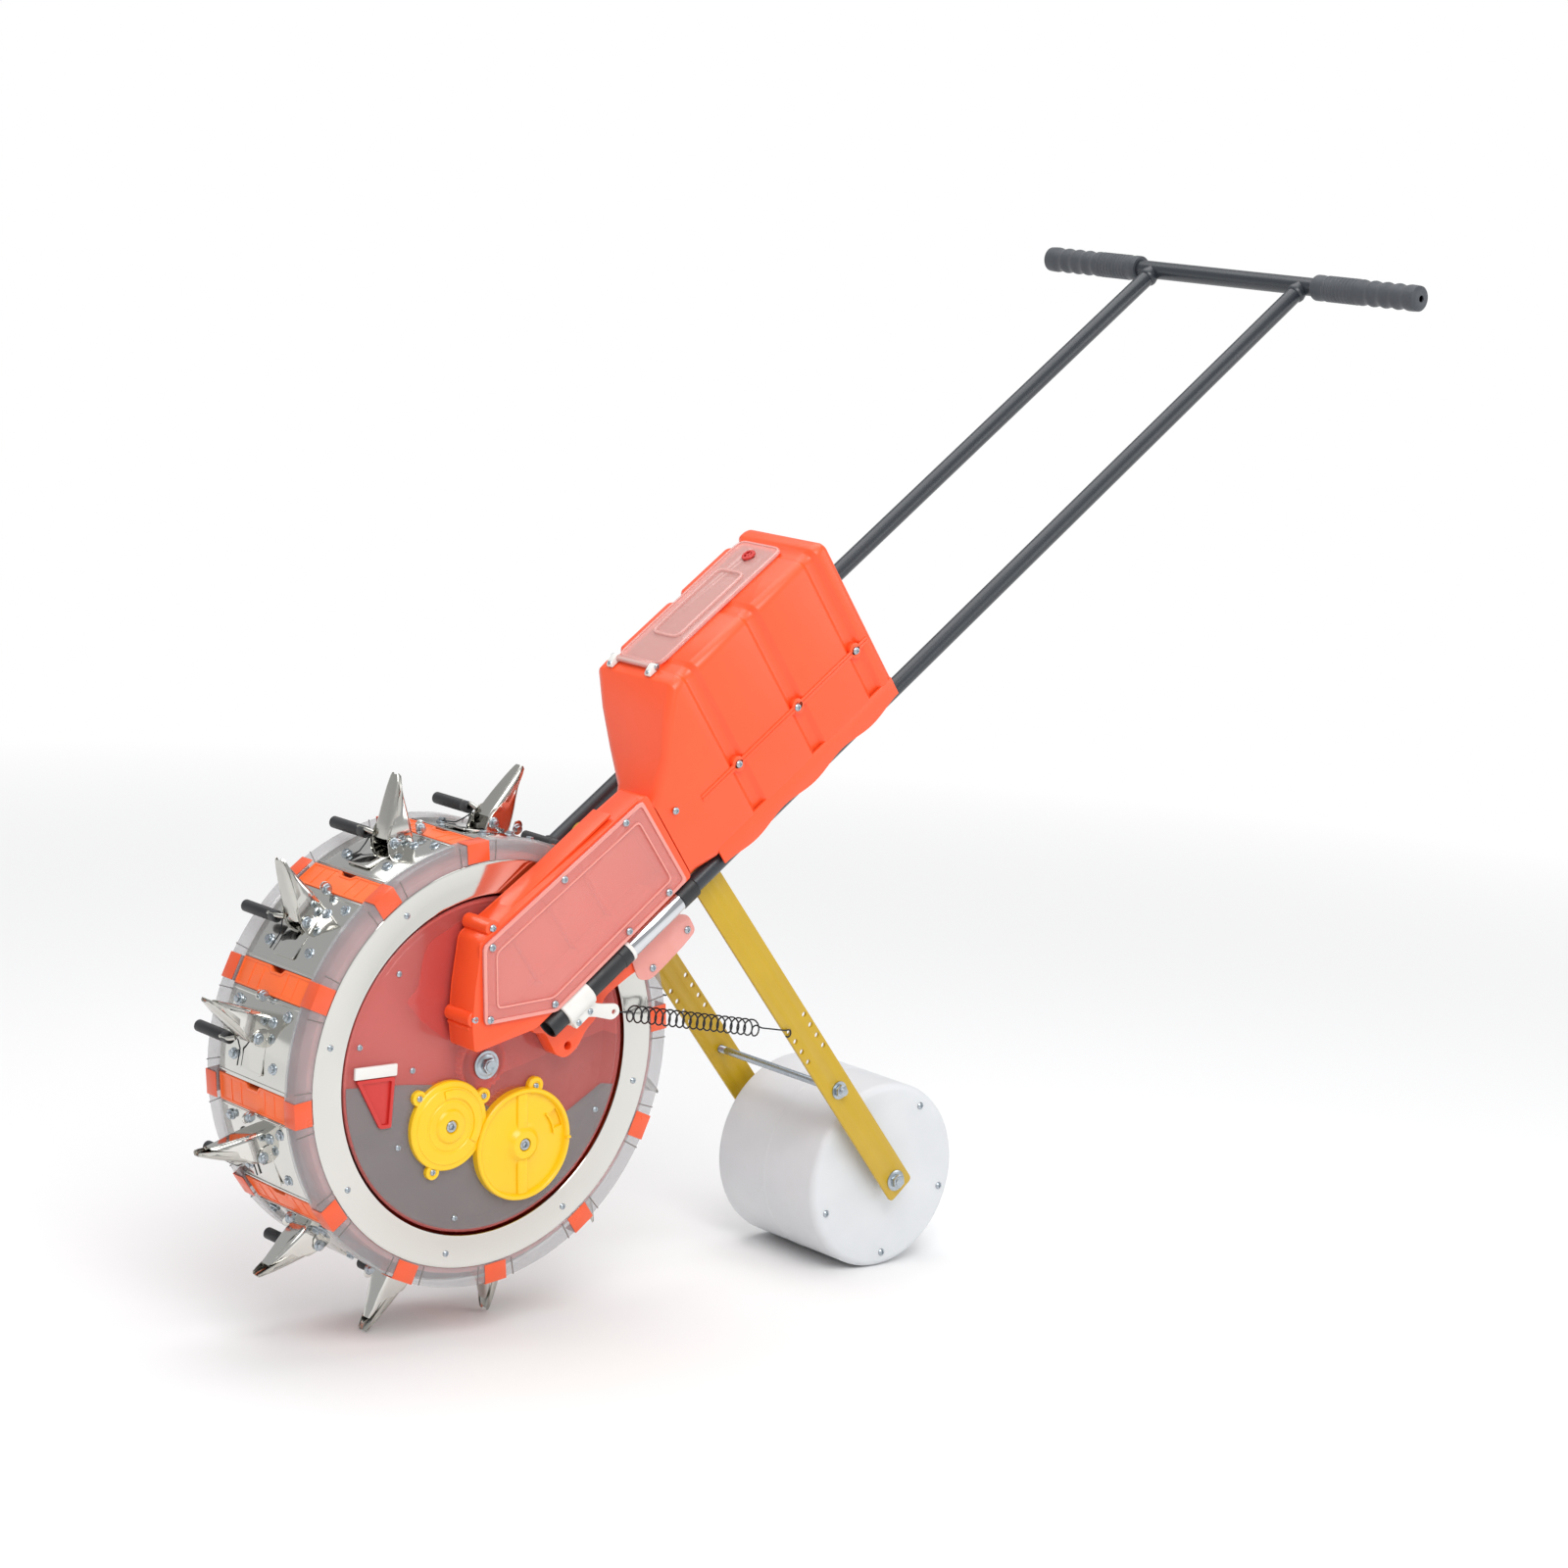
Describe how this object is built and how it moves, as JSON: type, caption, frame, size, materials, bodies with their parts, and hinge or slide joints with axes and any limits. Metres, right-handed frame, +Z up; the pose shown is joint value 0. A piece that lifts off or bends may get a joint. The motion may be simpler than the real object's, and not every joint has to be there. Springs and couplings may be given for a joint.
{
  "type": "push seeder",
  "caption": "Hand-pushed rolling drum seeder: duckbill beaks round a drum, offset seed hopper and chute, two-tube push handle and a sprung trailing press roller.",
  "frame": {"origin": "middle of the plan of the whole, on the ground that the beaks and the press roller stand on", "axes": "+X from the drum towards the handle, along the length; +Y towards the right-hand side, along the axles; +Z up"},
  "size_m": [1.4562, 0.617, 1.178],
  "materials": {
    "orange": "moulded, satin gloss",
    "clear": "clear moulded plastic, slightly frosted by handling",
    "rose": "clear rose-tinted moulded plastic, gloss",
    "bright": "mirror-polished stainless sheet",
    "steel": "pressed stainless steel",
    "zinc": "blue zinc plating",
    "chrome": "chromed tube",
    "yellow": "moulded, satin",
    "white": "moulded, satin",
    "roller": "moulded, milky, satin",
    "black": "black gloss powder coat",
    "rubber": "black moulded plastic",
    "grip": "ribbed soft grip, matt",
    "mustard": "mustard yellow powder coat"
  },
  "bodies": {
    "frame": {"handle_tube_left": "black", "handle_tube_right": "black", "handle_crossbar": "black", "grip_left": "grip", "grip_right": "grip", "tube_socket_left": "rubber", "tube_socket_right": "rubber", "tube_sleeve_left": "chrome", "tube_sleeve_right": "chrome", "spring_clamp_left": "white", "spring_clamp_right": "white", "hopper_upper_shell": "orange", "hopper_lower_shell": "orange", "lid_hinge": "white", "chute_body": "orange", "chute_cover": "rose", "side_disc_left": "rose", "side_disc_right": "rose", "axle": "zinc", "meter_cover": "yellow", "seed_box": "yellow", "press_spring_left": "black", "press_spring_right": "black"},
    "lid": {"hopper_lid": "clear"},
    "drum": {"drum_wheel": "orange", "rim_band_left": "clear", "rim_band_right": "clear", "side_ring_left": "bright", "side_ring_right": "bright", "beak_plate_01": "bright", "beak_plate_02": "bright", "beak_plate_03": "bright", "beak_plate_04": "bright", "beak_plate_05": "bright", "beak_plate_06": "bright", "beak_plate_07": "bright", "beak_plate_08": "bright", "beak_plate_09": "bright", "beak_plate_10": "bright", "beak_plate_11": "bright", "beak_plate_12": "bright"},
    "idler": {"idler_gear": "yellow"},
    "seed_disc": {"seed_wheel": "yellow"},
    "press_arms": {"press_arm_left": "mustard", "press_arm_right": "mustard", "cross_rod": "zinc", "roller_axle": "zinc"},
    "roller": {"press_roller": "roller"},
    "beak_01": {"beak_lever_01": "steel"},
    "beak_02": {"beak_lever_02": "steel"},
    "beak_03": {"beak_lever_03": "steel"},
    "beak_04": {"beak_lever_04": "steel"},
    "beak_05": {"beak_lever_05": "steel"},
    "beak_06": {"beak_lever_06": "steel"},
    "beak_07": {"beak_lever_07": "steel"},
    "beak_08": {"beak_lever_08": "steel"},
    "beak_09": {"beak_lever_09": "steel"},
    "beak_10": {"beak_lever_10": "steel"},
    "beak_11": {"beak_lever_11": "steel"},
    "beak_12": {"beak_lever_12": "steel"}
  },
  "joints": [
    {"name": "drum_spin", "type": "hinge", "parent": "frame", "child": "drum", "pos_m": [-0.42121, 0, 0.30688], "axis": [0, -1, 0], "continuous": true},
    {"name": "idler_spin", "type": "hinge", "parent": "frame", "child": "idler", "pos_m": [-0.46973, 0, 0.24696], "axis": [0, -1, 0], "continuous": true},
    {"name": "seed_wheel_spin", "type": "hinge", "parent": "frame", "child": "seed_disc", "pos_m": [-0.37024, 0, 0.2153], "axis": [0, -1, 0], "continuous": true},
    {"name": "lid_swing", "type": "hinge", "parent": "frame", "child": "lid", "pos_m": [-0.2379, -0.0615, 0.73025], "axis": [0, -1, 0], "range_deg": [0, 110]},
    {"name": "press_arm_swing", "type": "hinge", "parent": "frame", "child": "press_arms", "pos_m": [-0.16606, 0, 0.50754], "axis": [0, -1, 0], "range_deg": [-8, 15], "stiffness_Nm_per_rad": 32, "springref_deg": -9.74, "deforming": ["press_spring_left", "press_spring_right"]},
    {"name": "roller_spin", "type": "hinge", "parent": "press_arms", "child": "roller", "pos_m": [0.16713, 0, 0.11], "axis": [0, -1, 0], "continuous": true},
    {"name": "beak_01_open", "type": "hinge", "parent": "drum", "child": "beak_01", "pos_m": [-0.33185, 0, 0.07286], "axis": [0, -1, 0], "range_deg": [0, 18], "stiffness_Nm_per_rad": 1, "springref_deg": -11.46},
    {"name": "beak_02_open", "type": "hinge", "parent": "drum", "child": "beak_02", "pos_m": [-0.22681, 0, 0.14889], "axis": [0, -1, 0], "range_deg": [0, 18], "stiffness_Nm_per_rad": 1, "springref_deg": -11.46},
    {"name": "beak_03_open", "type": "hinge", "parent": "drum", "child": "beak_03", "pos_m": [-0.17387, 0, 0.26726], "axis": [0, -1, 0], "range_deg": [0, 18], "stiffness_Nm_per_rad": 1, "springref_deg": -11.46},
    {"name": "beak_04_open", "type": "hinge", "parent": "drum", "child": "beak_04", "pos_m": [-0.1872, 0, 0.39624], "axis": [0, -1, 0], "range_deg": [0, 18], "stiffness_Nm_per_rad": 1, "springref_deg": -11.46},
    {"name": "beak_05_open", "type": "hinge", "parent": "drum", "child": "beak_05", "pos_m": [-0.26323, 0, 0.50127], "axis": [0, -1, 0], "range_deg": [0, 18], "stiffness_Nm_per_rad": 1, "springref_deg": -11.46},
    {"name": "beak_06_open", "type": "hinge", "parent": "drum", "child": "beak_06", "pos_m": [-0.38159, 0, 0.55422], "axis": [0, -1, 0], "range_deg": [0, 18], "stiffness_Nm_per_rad": 1, "springref_deg": -11.46},
    {"name": "beak_07_open", "type": "hinge", "parent": "drum", "child": "beak_07", "pos_m": [-0.51058, 0, 0.54089], "axis": [0, -1, 0], "range_deg": [0, 18], "stiffness_Nm_per_rad": 1, "springref_deg": -11.46},
    {"name": "beak_08_open", "type": "hinge", "parent": "drum", "child": "beak_08", "pos_m": [-0.61561, 0, 0.46486], "axis": [0, -1, 0], "range_deg": [0, 18], "stiffness_Nm_per_rad": 1, "springref_deg": -11.46},
    {"name": "beak_09_open", "type": "hinge", "parent": "drum", "child": "beak_09", "pos_m": [-0.66856, 0, 0.34649], "axis": [0, -1, 0], "range_deg": [0, 18], "stiffness_Nm_per_rad": 1, "springref_deg": -11.46},
    {"name": "beak_10_open", "type": "hinge", "parent": "drum", "child": "beak_10", "pos_m": [-0.65523, 0, 0.21751], "axis": [0, -1, 0], "range_deg": [0, 18], "stiffness_Nm_per_rad": 1, "springref_deg": -11.46},
    {"name": "beak_11_open", "type": "hinge", "parent": "drum", "child": "beak_11", "pos_m": [-0.5792, 0, 0.11248], "axis": [0, -1, 0], "range_deg": [0, 18], "stiffness_Nm_per_rad": 1, "springref_deg": -11.46},
    {"name": "beak_12_open", "type": "hinge", "parent": "drum", "child": "beak_12", "pos_m": [-0.46083, 0, 0.05953], "axis": [0, -1, 0], "range_deg": [0, 18], "stiffness_Nm_per_rad": 1, "springref_deg": -11.46}
  ],
  "couplings": [
    {"joint": "idler_spin", "follows": "drum_spin", "ratio": -0.6813},
    {"joint": "seed_wheel_spin", "follows": "drum_spin", "ratio": 0.5317}
  ]
}
